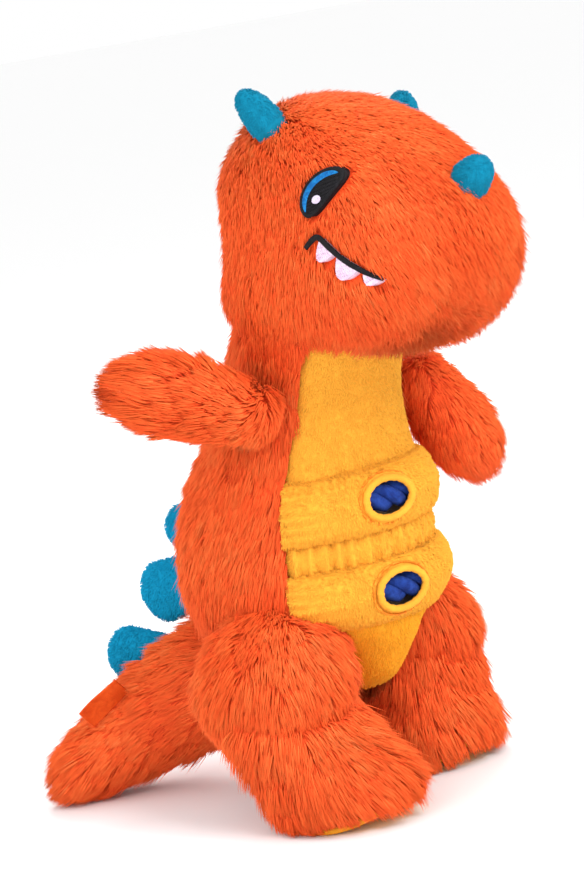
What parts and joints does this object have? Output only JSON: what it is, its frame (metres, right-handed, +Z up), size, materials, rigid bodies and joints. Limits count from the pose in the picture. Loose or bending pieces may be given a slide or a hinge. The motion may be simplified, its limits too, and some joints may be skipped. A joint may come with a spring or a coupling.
{
  "type": "stuffed dinosaur",
  "caption": "Upright stuffed T-rex with a big horned head, short arms, tail and back plates; belly bands with windows onto a twisted fleece core; limbs, head and tail flex at their seams.",
  "frame": {"origin": "centre of the bounding box, on the floor under the soles", "axes": "+Z up, the dinosaur faces -Y, its left side is +X"},
  "size_m": [0.1809, 0.2558, 0.2864],
  "materials": {
    "fur_orange": "long-pile faux fur, clumped and directional",
    "velour_yellow": "short-pile velour",
    "velour_amber": "short-pile velour",
    "velour_cyan": "short-pile velour",
    "fleece_navy": "fleece cord",
    "thread_amber": "satin stitch rim",
    "thread_black": "satin stitch embroidery",
    "thread_blue": "satin stitch embroidery",
    "thread_white": "satin stitch embroidery",
    "thread_lavender": "satin stitch embroidery",
    "woven_orange": "woven ribbon",
    "fibre_fill": "loose polyester fibre"
  },
  "bodies": {
    "torso": {"torso_fur_right": "fur_orange", "torso_fur_left": "fur_orange", "torso_stuffing": "fibre_fill", "chest_panel": "velour_yellow", "upper_band": "velour_yellow", "lower_band": "velour_yellow", "gathered_strip": "velour_yellow", "lower_belly_panel": "velour_amber", "upper_window_rim": "thread_amber", "lower_window_rim": "thread_amber", "upper_strand_1": "fleece_navy", "upper_strand_2": "fleece_navy", "upper_strand_3": "fleece_navy", "lower_strand_1": "fleece_navy", "lower_strand_2": "fleece_navy", "lower_strand_3": "fleece_navy", "back_plate_1": "velour_cyan", "back_plate_2": "velour_cyan"},
    "tail": {"tail_plate": "velour_cyan", "tail_fur": "fur_orange", "tail_stuffing": "fibre_fill"},
    "head": {"head_side_right": "fur_orange", "head_side_left": "fur_orange", "head_gusset": "fur_orange", "head_stuffing": "fibre_fill", "rear_horn_right": "velour_cyan", "rear_horn_left": "velour_cyan", "nose_horn": "velour_cyan", "eye_right": "thread_black", "eye_left": "thread_black", "iris_right": "thread_blue", "iris_left": "thread_blue", "glint_right": "thread_white", "glint_left": "thread_white", "mouth_line_right": "thread_black", "mouth_line_left": "thread_black", "teeth_right": "thread_lavender", "teeth_left": "thread_lavender"},
    "arm_right": {"arm_fur_right": "fur_orange", "arm_stuffing_right": "fibre_fill"},
    "arm_left": {"arm_fur_left": "fur_orange", "arm_stuffing_left": "fibre_fill"},
    "leg_right": {"leg_fur_right": "fur_orange", "leg_stuffing_right": "fibre_fill", "sole_right": "velour_amber"},
    "leg_left": {"leg_fur_left": "fur_orange", "leg_stuffing_left": "fibre_fill", "sole_left": "velour_amber"},
    "tag": {"care_tag": "woven_orange"}
  },
  "joints": [
    {"name": "head_nod", "type": "hinge", "parent": "torso", "child": "head", "pos_m": [0.0068, -0.0206, 0.182], "axis": [1, 0, 0], "range_deg": [-10, 10]},
    {"name": "arm_right_raise", "type": "hinge", "parent": "torso", "child": "arm_right", "pos_m": [-0.0427, -0.0306, 0.168], "axis": [0, 1, 0], "range_deg": [-40, 20]},
    {"name": "arm_left_raise", "type": "hinge", "parent": "torso", "child": "arm_left", "pos_m": [0.0563, -0.0306, 0.161], "axis": [0, 1, 0], "range_deg": [-40, 10]},
    {"name": "leg_right_swing", "type": "hinge", "parent": "torso", "child": "leg_right", "pos_m": [-0.0372, -0.01495, 0.041], "axis": [1, 0, 0], "range_deg": [-12, 12]},
    {"name": "leg_left_swing", "type": "hinge", "parent": "torso", "child": "leg_left", "pos_m": [0.0508, -0.00515, 0.041], "axis": [1, 0, 0], "range_deg": [-12, 12]},
    {"name": "tail_swing", "type": "hinge", "parent": "torso", "child": "tail", "pos_m": [0.0068, 0.0624, 0.046], "axis": [0, 0, 1], "range_deg": [-15, 15]},
    {"name": "tag_flap", "type": "hinge", "parent": "tail", "child": "tag", "pos_m": [-0.0305, 0.096, 0.0402], "axis": [-0.6455, 0.5043, -0.5736], "range_deg": [-25, 25]}
  ]
}
